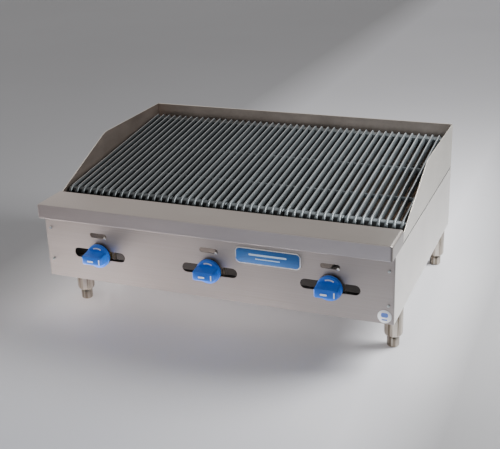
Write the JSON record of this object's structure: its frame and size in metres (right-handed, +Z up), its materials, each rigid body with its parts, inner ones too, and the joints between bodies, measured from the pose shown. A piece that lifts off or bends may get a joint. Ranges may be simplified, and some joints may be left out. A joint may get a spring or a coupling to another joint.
{
  "type": "countertop gas charbroiler",
  "caption": "Countertop gas charbroiler: stainless body on adjustable legs, sloped cast-iron grates in a splash guard, front landing ledge, blue burner knobs and a slide-out grease tray.",
  "frame": {"origin": "centre of the footprint at the counter surface, under the feet", "axes": "+X to the operator's right, +Y to the back, +Z up; the knobs face -Y"},
  "size_m": [0.9144, 0.7504, 0.412],
  "materials": {
    "stainless_steel": "brushed stainless sheet",
    "bright_steel": "bright plated steel",
    "cast_iron": "dark blue-grey cast iron",
    "nickel_plate": "nickel plated",
    "brass": "machined brass",
    "black_pipe": "black iron pipe",
    "blue_plastic": "blue moulded plastic",
    "badge_blue": "blue enamel",
    "white_label": "white printed label"
  },
  "bodies": {
    "body": {"side_panel_left": "stainless_steel", "side_panel_right": "stainless_steel", "splash_left": "stainless_steel", "splash_right": "stainless_steel", "front_panel": "stainless_steel", "back_panel": "stainless_steel", "base_front": "stainless_steel", "base_rear": "stainless_steel", "front_rail": "stainless_steel", "splash_back": "stainless_steel", "panel_screw_1": "bright_steel", "panel_screw_2": "bright_steel", "panel_screw_3": "bright_steel", "panel_screw_4": "bright_steel", "badge": "badge_blue", "label": "white_label", "firebox_front": "stainless_steel", "rear_rest": "stainless_steel", "grate_support_front": "stainless_steel", "grate_support_rear": "stainless_steel", "burner_1": "cast_iron", "burner_2": "cast_iron", "burner_3": "cast_iron", "radiant_1": "cast_iron", "radiant_2": "cast_iron", "radiant_3": "cast_iron", "gas_manifold": "black_pipe", "supply_pipe": "black_pipe", "gas_valve_1": "brass", "gas_valve_2": "brass", "gas_valve_3": "brass", "pilot_valve_1": "brass", "pilot_valve_2": "brass", "pilot_valve_3": "brass", "pilot_tube_1": "bright_steel", "pilot_tube_2": "bright_steel", "pilot_tube_3": "bright_steel", "tray_runner_left": "stainless_steel", "tray_runner_right": "stainless_steel", "leg_1": "nickel_plate", "leg_2": "nickel_plate", "leg_3": "nickel_plate", "leg_4": "nickel_plate"},
    "knob_1": {"knob_1": "blue_plastic", "valve_stem_1": "bright_steel"},
    "knob_2": {"knob_2": "blue_plastic", "valve_stem_2": "bright_steel"},
    "knob_3": {"knob_3": "blue_plastic", "valve_stem_3": "bright_steel"},
    "grate_1": {"grate_1": "cast_iron"},
    "grate_2": {"grate_2": "cast_iron"},
    "grate_3": {"grate_3": "cast_iron"},
    "grate_4": {"grate_4": "cast_iron"},
    "grate_5": {"grate_5": "cast_iron"},
    "grate_6": {"grate_6": "cast_iron"},
    "grease_tray": {"grease_tray": "stainless_steel"},
    "foot_1": {"foot_1": "nickel_plate"},
    "foot_2": {"foot_2": "nickel_plate"},
    "foot_3": {"foot_3": "nickel_plate"},
    "foot_4": {"foot_4": "nickel_plate"}
  },
  "joints": [
    {"name": "knob_1_turn", "type": "hinge", "parent": "body", "child": "knob_1", "pos_m": [-0.3028, -0.3302, 0.192], "axis": [0, -1, 0], "range_deg": [0, 90]},
    {"name": "knob_2_turn", "type": "hinge", "parent": "body", "child": "knob_2", "pos_m": [0.002, -0.3302, 0.192], "axis": [0, -1, 0], "range_deg": [0, 90]},
    {"name": "knob_3_turn", "type": "hinge", "parent": "body", "child": "knob_3", "pos_m": [0.3068, -0.3302, 0.192], "axis": [0, -1, 0], "range_deg": [0, 90]},
    {"name": "grate_1_lift", "type": "slide", "parent": "body", "child": "grate_1", "axis": [0, 0, 1], "range_m": [0, 0.13]},
    {"name": "grate_2_lift", "type": "slide", "parent": "body", "child": "grate_2", "axis": [0, 0, 1], "range_m": [0, 0.13]},
    {"name": "grate_3_lift", "type": "slide", "parent": "body", "child": "grate_3", "axis": [0, 0, 1], "range_m": [0, 0.13]},
    {"name": "grate_4_lift", "type": "slide", "parent": "body", "child": "grate_4", "axis": [0, 0, 1], "range_m": [0, 0.13]},
    {"name": "grate_5_lift", "type": "slide", "parent": "body", "child": "grate_5", "axis": [0, 0, 1], "range_m": [0, 0.13]},
    {"name": "grate_6_lift", "type": "slide", "parent": "body", "child": "grate_6", "axis": [0, 0, 1], "range_m": [0, 0.13]},
    {"name": "grease_tray_slide", "type": "slide", "parent": "body", "child": "grease_tray", "axis": [0, -1, 0], "range_m": [0, 0.42]},
    {"name": "foot_1_thread", "type": "slide", "parent": "body", "child": "foot_1", "axis": [0, 0, -1], "range_m": [0, 0.02]},
    {"name": "foot_2_thread", "type": "slide", "parent": "body", "child": "foot_2", "axis": [0, 0, -1], "range_m": [0, 0.02]},
    {"name": "foot_3_thread", "type": "slide", "parent": "body", "child": "foot_3", "axis": [0, 0, -1], "range_m": [0, 0.02]},
    {"name": "foot_4_thread", "type": "slide", "parent": "body", "child": "foot_4", "axis": [0, 0, -1], "range_m": [0, 0.02]}
  ]
}
